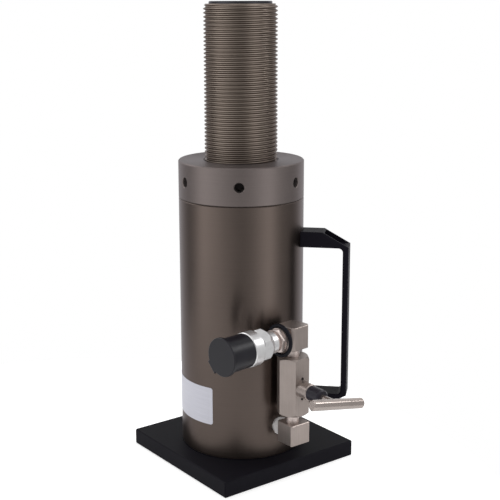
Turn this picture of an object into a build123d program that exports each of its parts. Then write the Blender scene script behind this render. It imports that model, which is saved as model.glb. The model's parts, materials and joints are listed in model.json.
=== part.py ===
from build123d import *
import os
from math import cos, degrees, radians, sin, sqrt

# Locking collar hydraulic jack. Millimetres, +Z up along the barrel's axis, Z = 0 on the
# underside of the base plate. The oil port and the valve stand on the -Y side of the barrel,
# square to one side of the plate. The ram is fully raised and the collar is down on the barrel.

# Base plate and its screws
base_side = 170
base_thickness = 17
base_edge_chamfer = 1.2
base_screw_circle = 95
base_screw_count = 4
base_screw_first_angle = 45
base_screw_diameter = 12
base_screw_head_diameter = 18
base_screw_head_height = 9
base_screw_head_recess = 1.5
base_screw_thread_length = 16
base_screw_socket_flats = 10
base_screw_socket_depth = 5.5
screw_hole_clearance = 0.5
drill_point_depth = 2

# Barrel
barrel_diameter = 130
barrel_bore = 95
barrel_height = 266
floor_thickness = 26
barrel_edge_chamfer = 0.8

# Head of the barrel
stop_ring_diameter = 108
stop_ring_height = 30
stop_ring_recess = 1
spanner_hole_count = 2
spanner_hole_diameter = 6
spanner_hole_depth = 8
wiper_diameter = 87
wiper_height = 7
wiper_lip_thickness = 1.6

# Ram, with its piston at the foot and the lock thread above it
thread_diameter = 75
thread_pitch = 4
stroke = 150
ram_top_above_collar = 6.8
piston_height = 55
piston_oil_chamfer = 7
piston_radial_gap = 0.6
wear_ring_count = 2
wear_ring_width = 10
wear_ring_thickness = 2.4
piston_land = 4
seal_width = 8
seal_thickness = 5.5
seal_lip_depth = 3
seal_lip_thickness = 1.5
backup_ring_width = 2.4
running_clearance = 0.06
piston_stop_gap = 0.2
seat_gap = 0.03

# Saddle in the ram's head
saddle_diameter = 64
saddle_height = 9
saddle_proud = 2.6
saddle_edge_chamfer = 0.8
saddle_groove_count = 3
saddle_groove_pitch = 7.5
saddle_groove_width = 1.6
saddle_groove_depth = 0.9
saddle_spigot_diameter = 26
saddle_spigot_length = 18
saddle_side_gap = 0.4
saddle_bore_extra_depth = 4
clip_section = 2.4
clip_gap_angle = 30

# Lock collar
collar_diameter = 130
collar_height = 38.7
collar_edge_chamfer = 1
collar_thread_chamfer = 1.5
collar_seat_clearance = 0.05
tommy_hole_diameter = 10
tommy_hole_depth = 16
tommy_hole_count = 6
tommy_hole_first_angle = -128.6
tommy_hole_chamfer = 0.8

# Carry handle, in a plane through the barrel's axis
handle_angle = -47
handle_width = 25
handle_length = 190.7
handle_centre_height = 153.9
handle_reach = 113.5
handle_grip_thickness = 6
handle_leg_thickness = 16.3
handle_flat_reach = 86.5
handle_slant_drop = 15.2
handle_blank_overlap = 5
handle_edge_radius = 1.4
handle_inner_radius = 4.5
handle_upper_radius = 4
handle_lower_radius = 7
pocket_side_wall = 2.2
pocket_face_wall = 1.8
pocket_top_wall = 1.1
pocket_rim = 2
pocket_seat_reach = 75
handle_screw_diameter = 6
handle_screw_head_diameter = 10
handle_screw_head_height = 6
handle_screw_thread_length = 12
handle_screw_socket_flats = 5
handle_screw_socket_depth = 3

# Oil port, its adapter and the corner blocks
port_height = 50
port_oilway = 8
port_oilway_start = 37.5
port_thread_diameter = 13.2
port_thread_length = 10.5
port_spotface_diameter = 21
port_spotface_reach = 62.8
adapter_shoulder_diameter = 16
adapter_shoulder_length = 3
adapter_flats = 17
adapter_hexagon_length = 7
adapter_hexagon_chamfer = 0.8
adapter_hexagon_turn = 40
adapter_neck_diameter = 14
block_thread_diameter = 9.7
block_thread_length = 8
lower_block_width = 24.6
lower_block_depth = 23.2
lower_block_height = 22
lower_block_offset = 1.3
lower_block_edge_chamfer = 1.3
upper_block_size = 24
upper_block_edge_chamfer = 3
block_face_chamfer = 0.5
valve_reach = 86.2
fitting_oilway = 6
hexagon_end_ratio = 0.97

# Needle valve
valve_flats = 30
valve_length = 61
valve_end_chamfer = 2.2
nipple_diameter = 13.2
nipple_thread_length = 6
lower_nipple_show = 10
upper_nipple_show = 8.7
stem_below_centre = 1
bonnet_diameter = 17
bonnet_length = 14
bonnet_edge_chamfer = 0.8
bonnet_thread_diameter = 14
bonnet_thread_length = 9
bonnet_pin_diameter = 3.4
bonnet_pin_circle = 21
bonnet_pin_length = 6
bonnet_pin_recess = 1.6
gland_diameter = 15.4
gland_length = 16.5
gland_nose_chamfer = 1.2
gland_thread_diameter = 11
gland_thread_length = 6
packing_length = 5
stem_diameter = 6.4
stem_past_axis = 4
needle_tip_length = 5
needle_tip_diameter = 3.6
valve_seat_past_axis = 2
valve_orifice_diameter = 5
valve_orifice_length = 6
valve_oilway = 4
valve_inlet_past_axis = 4.6
valve_outlet_before_axis = 1
stem_spigot_diameter = 4.4
stem_spigot_past_bar_axis = 2.5
tee_bar_diameter = 10.7
tee_bar_length = 65.9
tee_bar_end_radius = 1.6
tee_bar_end_chamfer = 1.2
tee_bar_reach = 66.7
tee_bar_roll = 11.2

# Quick coupler, on an axis that leaves the upper block sideways; lengths from the block's centre
coupler_angle = -174
coupler_shoulder_diameter = 24.6
coupler_shoulder_start = 16.5
coupler_shoulder_length = 5.1
coupler_nipple_flats = 22
coupler_nipple_length = 4.9
coupler_nipple_chamfer = 0.8
coupler_nipple_turn = 15
coupler_neck_diameter = 18
coupler_tail_start = 30
coupler_tail_thread_length = 9
coupler_tail_diameter = 22.4
coupler_tail_end = 38
coupler_tail_chamfer = 0.8
coupler_hex_flats = 30
coupler_hex_end = 54
coupler_hex_chamfer = 1.4
coupler_cone_diameter = 25.2
coupler_cone_length = 8
coupler_hex_turn = 30
coupler_nose_diameter = 22
check_chamber_diameter = 13
check_chamber_start = 48
check_seat_reach = 78
sleeve_diameter = 34.6
sleeve_front_diameter = 30
sleeve_band_length = 12.2
sleeve_past_nose = 3
sleeve_thread_bore = 27
sleeve_thread_depth = 15
sleeve_end_gap = 0.3
sleeve_edge_chamfer = 0.8
sleeve_clip_diameter = 25.6
sleeve_clip_width = 1.5
sleeve_clip_groove_depth = 1
poppet_diameter = 9
poppet_nose_length = 6
poppet_flange_diameter = 12
poppet_flange_length = 3
poppet_tail_diameter = 5
poppet_tail_length = 6
front_seal_diameter = 13
front_seal_land = 2
front_seal_width = 2.4
moving_gap = 0.3
check_spring_wire = 1
check_spring_diameter = 10.8
check_spring_turns = 5

# Dust cap and the ring that ties it to the coupler's nipple
cap_gap = 0.4
cap_past_sleeve = 10
cap_rear_diameter = 33.6
cap_front_diameter = 34.2
cap_rim_diameter = 38
cap_rim_length = 2.8
cap_front_wall = 2
cap_front_edge_radius = 0.9
cap_tab_width = 14
cap_tab_drop = 1.5
cap_tab_angle = 222
tether_ring_inner_diameter = 26.2
tether_cord_diameter = 4

# Blank data label on the barrel
label_end_angle = -154.8
label_arc_length = 76
label_height = 40
label_centre_height = 72.4
label_thickness = 0.25
label_corner_radius = 2.5

# Heights along the barrel's axis
barrel_radius = barrel_diameter / 2
bore_radius = barrel_bore / 2
thread_radius = thread_diameter / 2
base_top = base_thickness
chamber_floor = base_top + floor_thickness
barrel_top = base_top + barrel_height
stop_ring_top = barrel_top - stop_ring_recess
stop_ring_bottom = stop_ring_top - stop_ring_height
collar_bottom = barrel_top + collar_seat_clearance
collar_top = collar_bottom + collar_height
collar_middle = (collar_bottom + collar_top) / 2
ram_top = collar_top + stroke + ram_top_above_collar
piston_top = stop_ring_bottom - piston_stop_gap
piston_bottom = piston_top - piston_height
saddle_top = ram_top + saddle_proud
saddle_seat = saddle_top - saddle_height
spigot_bottom = saddle_seat - saddle_spigot_length
clip_height = saddle_seat - saddle_spigot_length / 2
thread_depth = 0.6134 * thread_pitch

# Places on the valve's vertical axis
block_half = upper_block_size / 2
lower_block_top = port_height + lower_block_height / 2
valve_bottom = lower_block_top + lower_nipple_show
valve_top = valve_bottom + valve_length
upper_block_bottom = valve_top + upper_nipple_show
coupler_height = upper_block_bottom + block_half
stem_height = (valve_bottom + valve_top) / 2 - stem_below_centre
valve_face = valve_flats / 2
nipple_radius = nipple_diameter / 2
stem_radius = stem_diameter / 2

# Places on the valve stem's axis, from the valve's vertical axis
bonnet_front = valve_face + bonnet_length
gland_seat = bonnet_front - gland_thread_length
packing_seat = gland_seat - packing_length
gland_front = bonnet_front + gland_length
tee_bar_radius = tee_bar_diameter / 2
stem_shoulder = tee_bar_reach - tee_bar_radius - seat_gap

# Working planes. On each, x runs along the piece's own axis and y is up.
up = Vector(0, 0, 1)


def side_plane(origin, angle):
    """An upright plane whose x axis points away from the origin at an angle about +Z."""
    along = Vector(cos(radians(angle)), sin(radians(angle)), 0)
    return Plane(origin=origin, x_dir=along, z_dir=along.cross(up))


def facing(plane, distance):
    """The plane square to another plane's x axis, at a distance along it."""
    return Plane(plane.origin + plane.x_dir * distance, x_dir=-plane.z_dir, z_dir=plane.x_dir)


def axis_of(plane):
    """The line that another plane's x axis lies on."""
    return Axis(plane.origin, plane.x_dir)


def raised(plane, height):
    """The same plane, moved up."""
    return Plane(plane.origin + up * height, x_dir=plane.x_dir, z_dir=plane.z_dir)


handle_plane = side_plane((0, 0, handle_centre_height), handle_angle)
port_plane = side_plane((0, 0, port_height), -90)
stem_plane = side_plane((0, -valve_reach, stem_height), -90)
coupler_plane = side_plane((0, -valve_reach, coupler_height), coupler_angle)
valve_plane = Plane(origin=(0, -valve_reach, 0), x_dir=(0, 0, 1), z_dir=(1, 0, 0))


def turned(plane, outline, axis, mode=Mode.ADD, arc=360):
    """Revolve a closed outline, given as points on a plane, about an axis."""
    with BuildSketch(plane) as profile:
        with BuildLine():
            Polyline(*outline, close=True)
        make_face()
    revolve(profile.sketch, axis=axis, revolution_arc=arc, mode=mode)


def round_bar(plane, start, end, radius, mode=Mode.ADD):
    """A round bar or hole along another plane's x axis."""
    with BuildSketch(facing(plane, start)) as section:
        Circle(radius)
    extrude(section.sketch, amount=end - start, mode=mode)


def ring_on(plane, start, end, inner, outer, mode=Mode.ADD, arc=360):
    """A turned ring along another plane's x axis."""
    outline = [(start, inner), (end, inner), (end, outer), (start, outer)]
    turned(plane, outline, axis_of(plane), mode, arc)


def band(bottom, top, inner, outer, mode=Mode.ADD):
    """A turned ring about the barrel's axis."""
    turned(Plane.XZ, [(inner, bottom), (outer, bottom), (outer, top), (inner, top)], Axis.Z, mode)


def hexagon_bar(plane, start, end, flats, end_chamfer, turn):
    """A hexagon bar along another plane's x axis, with its corners turned off at both ends."""
    corner = flats / sqrt(3)
    end_radius = flats / 2 * hexagon_end_ratio
    with BuildSketch(facing(plane, start)) as section:
        RegularPolygon(radius=flats / 2, side_count=6, major_radius=False, rotation=turn)
    extrude(section.sketch, amount=end - start)
    outline = [
        (start, 0),
        (start, end_radius),
        (start + end_chamfer, corner),
        (end - end_chamfer, corner),
        (end, end_radius),
        (end, 0),
    ]
    turned(plane, outline, axis_of(plane), Mode.INTERSECT)


def circles_of(builder, radius):
    """The round edges of a part that have one radius."""
    round_edges = builder.edges().filter_by(GeomType.CIRCLE)
    return round_edges.filter_by(lambda edge: abs(edge.radius - radius) < 1e-4)


base_screw_seat = base_screw_head_height + base_screw_head_recess
base_screw_end = base_top + base_screw_thread_length

# Base plate: a square steel slab, screwed to the barrel from below
with BuildPart() as base_plate:
    with BuildSketch():
        Rectangle(base_side, base_side)
    extrude(amount=base_thickness)
    chamfer(base_plate.edges(), base_edge_chamfer)
    with Locations(base_plate.faces().sort_by(Axis.Z)[0]):
        with PolarLocations(base_screw_circle / 2, base_screw_count, base_screw_first_angle):
            CounterBoreHole(
                radius=base_screw_diameter / 2 + screw_hole_clearance,
                counter_bore_radius=base_screw_head_diameter / 2 + screw_hole_clearance,
                counter_bore_depth=base_screw_seat,
            )

# Base screws: socket heads sunk in the underside of the plate
with BuildPart() as base_screws:
    with PolarLocations(base_screw_circle / 2, base_screw_count, base_screw_first_angle):
        with Locations((0, 0, base_screw_head_recess)):
            Cylinder(
                base_screw_head_diameter / 2,
                base_screw_head_height,
                align=(Align.CENTER, Align.CENTER, Align.MIN),
            )
            Cylinder(
                base_screw_diameter / 2,
                base_screw_end - base_screw_head_recess,
                align=(Align.CENTER, Align.CENTER, Align.MIN),
            )
    with BuildSketch(Plane.XY.offset(base_screw_head_recess)):
        with PolarLocations(base_screw_circle / 2, base_screw_count, base_screw_first_angle):
            RegularPolygon(radius=base_screw_socket_flats / 2, side_count=6, major_radius=False)
    extrude(amount=base_screw_socket_depth, mode=Mode.SUBTRACT)

# Barrel: a bored aluminium bar with a solid floor and a wider, threaded head
handle_screw_radius = handle_screw_diameter / 2
leg_centre = (handle_length - handle_leg_thickness) / 2
with BuildPart() as barrel:
    barrel_outline = [
        (0, base_top),
        (barrel_radius, base_top),
        (barrel_radius, barrel_top),
        (stop_ring_diameter / 2, barrel_top),
        (stop_ring_diameter / 2, stop_ring_bottom),
        (bore_radius, stop_ring_bottom),
        (bore_radius, chamber_floor),
        (0, chamber_floor),
    ]
    turned(Plane.XZ, barrel_outline, Axis.Z)
    chamfer(circles_of(barrel, barrel_radius), barrel_edge_chamfer)
    with BuildSketch(Plane.XY.offset(base_top)):
        with PolarLocations(base_screw_circle / 2, base_screw_count, base_screw_first_angle):
            Circle(base_screw_diameter / 2 + seat_gap)
    extrude(amount=base_screw_thread_length + drill_point_depth, mode=Mode.SUBTRACT)
    round_bar(
        port_plane, port_spotface_reach, barrel_radius + 1, port_spotface_diameter / 2, Mode.SUBTRACT
    )
    port_thread_end = port_spotface_reach - port_thread_length
    port_bore_end = port_thread_end - drill_point_depth
    round_bar(
        port_plane,
        port_bore_end,
        port_spotface_reach,
        port_thread_diameter / 2 + seat_gap,
        Mode.SUBTRACT,
    )
    round_bar(port_plane, port_oilway_start, port_thread_end, port_oilway / 2, Mode.SUBTRACT)
    handle_tapping_end = barrel_radius - handle_screw_thread_length - drill_point_depth
    for leg_height in (-leg_centre, leg_centre):
        round_bar(
            raised(handle_plane, leg_height),
            handle_tapping_end,
            barrel_radius + 1,
            handle_screw_radius + seat_gap,
            Mode.SUBTRACT,
        )

# Stop ring: screwed into the barrel's head, it guides the ram and stops the piston
with BuildPart() as stop_ring:
    guide_radius = thread_radius + running_clearance
    ring_radius = stop_ring_diameter / 2 - seat_gap
    wiper_seat = stop_ring_top - wiper_height
    stop_ring_outline = [
        (guide_radius, stop_ring_bottom),
        (ring_radius, stop_ring_bottom),
        (ring_radius, stop_ring_top),
        (wiper_diameter / 2, stop_ring_top),
        (wiper_diameter / 2, wiper_seat),
        (guide_radius, wiper_seat),
    ]
    turned(Plane.XZ, stop_ring_outline, Axis.Z)
    with BuildSketch(Plane.XY.offset(stop_ring_top)):
        with PolarLocations((ring_radius + wiper_diameter / 2) / 2, spanner_hole_count):
            Circle(spanner_hole_diameter / 2)
    extrude(amount=-spanner_hole_depth, mode=Mode.SUBTRACT)

# Rod wiper: a rubber ring with a raised inner lip
with BuildPart() as rod_wiper:
    wiper_inner = thread_radius + running_clearance
    wiper_outer = wiper_diameter / 2 - seat_gap
    wiper_outline = [
        (wiper_inner, wiper_seat),
        (wiper_outer, wiper_seat),
        (wiper_outer, stop_ring_top - wiper_height / 4),
        (wiper_inner + wiper_lip_thickness, stop_ring_top - wiper_height / 2),
        (wiper_inner + wiper_lip_thickness / 2, stop_ring_top),
        (wiper_inner, stop_ring_top),
    ]
    turned(Plane.XZ, wiper_outline, Axis.Z)

# Heights of the rings on the piston: wear rings at both ends, the seal between them
lower_wear_ring = piston_bottom + piston_oil_chamfer + piston_land
upper_wear_ring = piston_top - piston_land - wear_ring_width
wear_ring_step = (upper_wear_ring - lower_wear_ring) / (wear_ring_count - 1)
wear_ring_heights = [lower_wear_ring + wear_ring_step * number for number in range(wear_ring_count)]
seal_bottom = lower_wear_ring + wear_ring_width + piston_land
backup_bottom = seal_bottom + seal_width
backup_top = backup_bottom + backup_ring_width
ring_outer = bore_radius - running_clearance

# Ram: piston and threaded rod in one piece, bored at the top for the saddle
saddle_radius = saddle_diameter / 2
spigot_radius = saddle_spigot_diameter / 2
clip_half = clip_section / 2
with BuildPart() as ram:
    piston_radius = bore_radius - piston_radial_gap
    saddle_pocket_radius = saddle_radius + saddle_side_gap
    saddle_bore_radius = spigot_radius + running_clearance
    saddle_bore_end = spigot_bottom - saddle_bore_extra_depth
    ram_outline = [
        (0, piston_bottom),
        (piston_radius - piston_oil_chamfer, piston_bottom),
        (piston_radius, piston_bottom + piston_oil_chamfer),
        (piston_radius, piston_top),
        (thread_radius, piston_top),
        (thread_radius, ram_top - thread_depth),
        (thread_radius - thread_depth, ram_top),
        (saddle_pocket_radius, ram_top),
        (saddle_pocket_radius, saddle_seat),
        (saddle_bore_radius, saddle_seat),
        (saddle_bore_radius, saddle_bore_end),
        (0, saddle_bore_end),
    ]
    turned(Plane.XZ, ram_outline, Axis.Z)
    for height in wear_ring_heights:
        groove_radius = bore_radius - wear_ring_thickness
        band(height, height + wear_ring_width, groove_radius, bore_radius, Mode.SUBTRACT)
    band(seal_bottom, backup_top, bore_radius - seal_thickness, bore_radius, Mode.SUBTRACT)
    clip_groove_radius = spigot_radius + clip_half + moving_gap
    clip_groove_half = clip_half + moving_gap
    band(
        clip_height - clip_groove_half,
        clip_height + clip_groove_half,
        spigot_radius,
        clip_groove_radius,
        Mode.SUBTRACT,
    )

# Wear rings: two bronze-filled bands in the piston's grooves
with BuildPart() as wear_rings:
    for height in wear_ring_heights:
        band(height, height + wear_ring_width, bore_radius - wear_ring_thickness, ring_outer)

# Piston seal: a ring with its open lips towards the oil
with BuildPart() as piston_seal:
    seal_inner = bore_radius - seal_thickness
    seal_middle = (seal_inner + ring_outer) / 2
    seal_outline = [
        (seal_inner, seal_bottom),
        (seal_inner + seal_lip_thickness, seal_bottom),
        (seal_middle, seal_bottom + seal_lip_depth),
        (ring_outer - seal_lip_thickness, seal_bottom),
        (ring_outer, seal_bottom),
        (ring_outer, backup_bottom),
        (seal_inner, backup_bottom),
    ]
    turned(Plane.XZ, seal_outline, Axis.Z)

with BuildPart() as backup_ring:
    band(backup_bottom, backup_top, seal_inner, ring_outer)

# Saddle: a hardened disc with turned grooves and a spigot that the clip holds
with BuildPart() as saddle:
    saddle_outline = [
        (0, spigot_bottom),
        (spigot_radius, spigot_bottom),
        (spigot_radius, saddle_seat),
        (saddle_radius, saddle_seat),
        (saddle_radius, saddle_top),
        (0, saddle_top),
    ]
    turned(Plane.XZ, saddle_outline, Axis.Z)
    chamfer(circles_of(saddle, saddle_radius).sort_by(Axis.Z)[-1], saddle_edge_chamfer)
    for number in range(saddle_groove_count):
        groove_inner = saddle_groove_pitch * (number + 1)
        band(
            saddle_top - saddle_groove_depth,
            saddle_top,
            groove_inner,
            groove_inner + saddle_groove_width,
            Mode.SUBTRACT,
        )
    band(
        clip_height - clip_half,
        clip_height + clip_half,
        spigot_radius - clip_half,
        spigot_radius + 1,
        Mode.SUBTRACT,
    )

# Saddle clip: a split ring of square wire, half in the spigot's groove
with BuildPart() as saddle_clip:
    clip_inner = spigot_radius - clip_half + seat_gap
    clip_outer = spigot_radius + clip_half
    clip_bottom = clip_height - clip_half + seat_gap
    clip_top = clip_height + clip_half - seat_gap
    clip_outline = [
        (clip_inner, clip_bottom),
        (clip_outer, clip_bottom),
        (clip_outer, clip_top),
        (clip_inner, clip_top),
    ]
    turned(Plane.XZ, clip_outline, Axis.Z, arc=360 - clip_gap_angle)

# Lock collar: a threaded ring with blind holes for a tommy bar
tommy_mouth_radius = tommy_hole_diameter / 2 + tommy_hole_chamfer
with BuildPart() as lock_collar:
    collar_bore_radius = thread_radius + running_clearance
    band(collar_bottom, collar_top, collar_bore_radius, collar_diameter / 2)
    chamfer(circles_of(lock_collar, collar_diameter / 2), collar_edge_chamfer)
    chamfer(circles_of(lock_collar, collar_bore_radius), collar_thread_chamfer)
    with Locations((0, 0, collar_middle)):
        with PolarLocations(collar_diameter / 2, tommy_hole_count, tommy_hole_first_angle):
            Cylinder(
                radius=tommy_hole_diameter / 2,
                height=2 * tommy_hole_depth,
                rotation=(0, 90, 0),
                mode=Mode.SUBTRACT,
            )
            Cone(
                bottom_radius=0,
                top_radius=2 * tommy_mouth_radius,
                height=2 * tommy_mouth_radius,
                rotation=(0, 90, 0),
                mode=Mode.SUBTRACT,
            )

# Carry handle: a moulded bridge with slanted shoulders that hold the screw pockets
half_length = handle_length / 2
half_width = handle_width / 2
grip_inner = handle_reach - handle_grip_thickness
leg_inside = half_length - handle_leg_thickness
slant_end = half_length - handle_slant_drop
pocket_floor = leg_inside + pocket_face_wall
pocket_top = half_length - pocket_top_wall
handle_blank_start = barrel_radius - handle_blank_overlap
with BuildPart() as carry_handle:
    with BuildSketch(handle_plane) as handle_profile:
        with BuildLine():
            Polyline(
                (handle_blank_start, half_length),
                (handle_flat_reach, half_length),
                (handle_reach, slant_end),
                (handle_reach, -slant_end),
                (handle_flat_reach, -half_length),
                (handle_blank_start, -half_length),
                (handle_blank_start, -leg_inside),
                (grip_inner, -leg_inside),
                (grip_inner, leg_inside),
                (handle_blank_start, leg_inside),
                close=True,
            )
        make_face()
        corners = handle_profile.vertices()
        fillet(corners.filter_by(lambda corner: abs(corner.X - grip_inner) < 0.1), handle_inner_radius)
        outer_corners = corners.filter_by(lambda corner: corner.X > grip_inner + 1).sort_by(Axis.Y)
        fillet(outer_corners[0], handle_lower_radius)
        fillet(outer_corners[-1], handle_upper_radius)
    extrude(amount=half_width, both=True)
    side_faces = carry_handle.faces().sort_by(Axis(handle_plane.origin, handle_plane.z_dir))
    fillet(side_faces[0].edges() + side_faces[-1].edges(), handle_edge_radius)
    with Locations((0, 0, handle_centre_height)):
        Cylinder(barrel_radius + seat_gap, handle_length + 2, mode=Mode.SUBTRACT)
    for side in (-1, 1):
        with BuildSketch(handle_plane):
            with BuildLine():
                Polyline(
                    (pocket_seat_reach, side * pocket_floor),
                    (handle_reach - pocket_rim, side * pocket_floor),
                    (handle_reach - pocket_rim, side * pocket_top),
                    (pocket_seat_reach, side * pocket_top),
                    close=True,
                )
            make_face()
        extrude(amount=half_width - pocket_side_wall, both=True, mode=Mode.SUBTRACT)
        round_bar(
            raised(handle_plane, side * leg_centre),
            handle_blank_start,
            pocket_seat_reach,
            handle_screw_radius + screw_hole_clearance,
            Mode.SUBTRACT,
        )

# Handle screws: socket heads seated in the pockets
with BuildPart() as handle_screws:
    handle_screw_end = barrel_radius - handle_screw_thread_length
    handle_screw_head_end = pocket_seat_reach + handle_screw_head_height
    for leg_height in (-leg_centre, leg_centre):
        screw_plane = raised(handle_plane, leg_height)
        round_bar(screw_plane, handle_screw_end, pocket_seat_reach, handle_screw_radius)
        round_bar(screw_plane, pocket_seat_reach, handle_screw_head_end, handle_screw_head_diameter / 2)
        with BuildSketch(facing(screw_plane, handle_screw_head_end)):
            RegularPolygon(radius=handle_screw_socket_flats / 2, side_count=6, major_radius=False)
        extrude(amount=-handle_screw_socket_depth, mode=Mode.SUBTRACT)

# Port adapter: joins the barrel's port to the lower block, with a spanner hexagon
adapter_shoulder_end = port_spotface_reach + adapter_shoulder_length
adapter_hexagon_end = adapter_shoulder_end + adapter_hexagon_length
block_back = valve_reach - lower_block_depth / 2
adapter_end = block_back + block_thread_length
block_thread_radius = block_thread_diameter / 2
fitting_oilway_radius = fitting_oilway / 2
with BuildPart() as port_adapter:
    hexagon_bar(
        port_plane,
        adapter_shoulder_end,
        adapter_hexagon_end,
        adapter_flats,
        adapter_hexagon_chamfer,
        adapter_hexagon_turn,
    )
    shoulder_radius = adapter_shoulder_diameter / 2
    round_bar(port_plane, port_spotface_reach, adapter_shoulder_end, shoulder_radius)
    round_bar(port_plane, port_thread_end, port_spotface_reach, port_thread_diameter / 2)
    round_bar(port_plane, adapter_hexagon_end, block_back, adapter_neck_diameter / 2)
    round_bar(port_plane, block_back, adapter_end, block_thread_radius)
    round_bar(port_plane, port_thread_end, adapter_end, fitting_oilway_radius, Mode.SUBTRACT)

# Lower block: a square elbow that turns the oil upwards
nipple_socket_radius = nipple_radius + seat_gap
block_socket_radius = block_thread_radius + seat_gap
with BuildPart() as lower_block:
    with BuildSketch(Plane.XY.offset(port_height - lower_block_height / 2)):
        with Locations((lower_block_offset, -valve_reach)):
            Rectangle(lower_block_width, lower_block_depth)
    extrude(amount=lower_block_height)
    chamfer(lower_block.edges().filter_by(Axis.Z), lower_block_edge_chamfer)
    end_faces = lower_block.faces().filter_by(Axis.Z)
    chamfer(end_faces[0].edges() + end_faces[-1].edges(), block_face_chamfer)
    lower_thread_end = lower_block_top - nipple_thread_length
    round_bar(valve_plane, port_height, lower_block_top, fitting_oilway_radius, Mode.SUBTRACT)
    round_bar(valve_plane, lower_thread_end, lower_block_top, nipple_socket_radius, Mode.SUBTRACT)
    round_bar(port_plane, block_back, valve_reach, fitting_oilway_radius, Mode.SUBTRACT)
    round_bar(port_plane, block_back, adapter_end, block_socket_radius, Mode.SUBTRACT)

# Lower nipple: a threaded tube between the lower block and the valve
with BuildPart() as lower_nipple:
    lower_nipple_top = valve_bottom + nipple_thread_length
    ring_on(valve_plane, lower_thread_end, lower_nipple_top, fitting_oilway_radius, nipple_radius)

# Valve body: a hexagon bar, one flat square to the stem
seat_station = -valve_seat_past_axis
orifice_end = seat_station - valve_orifice_length
chamber_radius = stem_radius + moving_gap
bonnet_thread_start = valve_face - bonnet_thread_length
pin_reach = bonnet_pin_circle / 2
pin_planes = [raised(stem_plane, offset) for offset in (-pin_reach, pin_reach)]
pin_end = valve_face - bonnet_pin_recess
pin_start = pin_end - bonnet_pin_length
with BuildPart() as valve_body:
    hexagon_bar(valve_plane, valve_bottom, valve_top, valve_flats, valve_end_chamfer, 0)
    upper_thread_start = valve_top - nipple_thread_length
    round_bar(valve_plane, valve_bottom, lower_nipple_top, nipple_socket_radius, Mode.SUBTRACT)
    round_bar(valve_plane, upper_thread_start, valve_top, nipple_socket_radius, Mode.SUBTRACT)
    bonnet_socket_radius = bonnet_thread_diameter / 2 + seat_gap
    round_bar(stem_plane, bonnet_thread_start, valve_face, bonnet_socket_radius, Mode.SUBTRACT)
    round_bar(stem_plane, seat_station, bonnet_thread_start, chamber_radius, Mode.SUBTRACT)
    round_bar(stem_plane, orifice_end, seat_station, valve_orifice_diameter / 2, Mode.SUBTRACT)
    with BuildSketch(Plane.XY.offset(lower_nipple_top)):
        with Locations((0, valve_inlet_past_axis - valve_reach)):
            Circle(valve_oilway / 2)
    extrude(amount=stem_height - lower_nipple_top, mode=Mode.SUBTRACT)
    with BuildSketch(Plane.XY.offset(stem_height)):
        with Locations((0, -valve_reach - valve_outlet_before_axis)):
            Circle(valve_oilway / 2)
    extrude(amount=upper_thread_start - stem_height, mode=Mode.SUBTRACT)
    for pin_plane in pin_planes:
        round_bar(pin_plane, pin_start, valve_face, bonnet_pin_diameter / 2 + seat_gap, Mode.SUBTRACT)

# Bonnet pins: two pins beside the bonnet
with BuildPart() as bonnet_pins:
    for pin_plane in pin_planes:
        round_bar(pin_plane, pin_start, pin_end, bonnet_pin_diameter / 2)

# Valve bonnet: screwed into the body, bored for the stem and the packing
stem_bore_radius = stem_radius + running_clearance
gland_thread_radius = gland_thread_diameter / 2
with BuildPart() as valve_bonnet:
    bonnet_outline = [
        (bonnet_thread_start, stem_bore_radius),
        (bonnet_thread_start, bonnet_thread_diameter / 2),
        (valve_face, bonnet_thread_diameter / 2),
        (valve_face, bonnet_diameter / 2),
        (bonnet_front - bonnet_edge_chamfer, bonnet_diameter / 2),
        (bonnet_front, bonnet_diameter / 2 - bonnet_edge_chamfer),
        (bonnet_front, gland_thread_radius + seat_gap),
        (packing_seat, gland_thread_radius + seat_gap),
        (packing_seat, stem_bore_radius),
    ]
    turned(stem_plane, bonnet_outline, axis_of(stem_plane))

# Valve packing: pressed against the stem by the gland nut
with BuildPart() as valve_packing:
    ring_on(stem_plane, packing_seat, gland_seat, stem_bore_radius, gland_thread_radius)

# Gland nut: a long round nut with its thread inside the bonnet
with BuildPart() as gland_nut:
    gland_radius = gland_diameter / 2
    gland_outline = [
        (gland_seat, stem_bore_radius),
        (gland_seat, gland_thread_radius),
        (bonnet_front, gland_thread_radius),
        (bonnet_front, gland_radius),
        (gland_front - gland_nose_chamfer, gland_radius),
        (gland_front, gland_radius - gland_nose_chamfer),
        (gland_front, stem_bore_radius),
    ]
    turned(stem_plane, gland_outline, axis_of(stem_plane))

# Valve spindle: needle point inside, spigot for the tee bar outside
stem_spigot_radius = stem_spigot_diameter / 2
stem_spigot_end = tee_bar_reach + stem_spigot_past_bar_axis
with BuildPart() as valve_spindle:
    spindle_outline = [
        (-stem_past_axis, 0),
        (-stem_past_axis, needle_tip_diameter / 2),
        (needle_tip_length - stem_past_axis, stem_radius),
        (stem_shoulder, stem_radius),
        (stem_shoulder, stem_spigot_radius),
        (stem_spigot_end, stem_spigot_radius),
        (stem_spigot_end, 0),
    ]
    turned(stem_plane, spindle_outline, axis_of(stem_plane))

# Tee bar: a round bar across the spindle, one end lower than the other
bar_direction = Vector(cos(radians(tee_bar_roll)), 0, -sin(radians(tee_bar_roll)))
bar_centre = stem_plane.origin + stem_plane.x_dir * tee_bar_reach
bar_start = bar_centre - bar_direction * (tee_bar_length / 2)
with BuildPart() as tee_bar:
    with BuildSketch(Plane(bar_start, z_dir=bar_direction)):
        Circle(tee_bar_radius)
    extrude(amount=tee_bar_length)
    bar_ends = circles_of(tee_bar, tee_bar_radius).sort_by(Axis.X)
    chamfer(bar_ends[0], tee_bar_end_chamfer)
    fillet(bar_ends[-1], tee_bar_end_radius)
    tee_hole_start = stem_shoulder - 1
    round_bar(stem_plane, tee_hole_start, stem_spigot_end, stem_spigot_radius + seat_gap, Mode.SUBTRACT)

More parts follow.
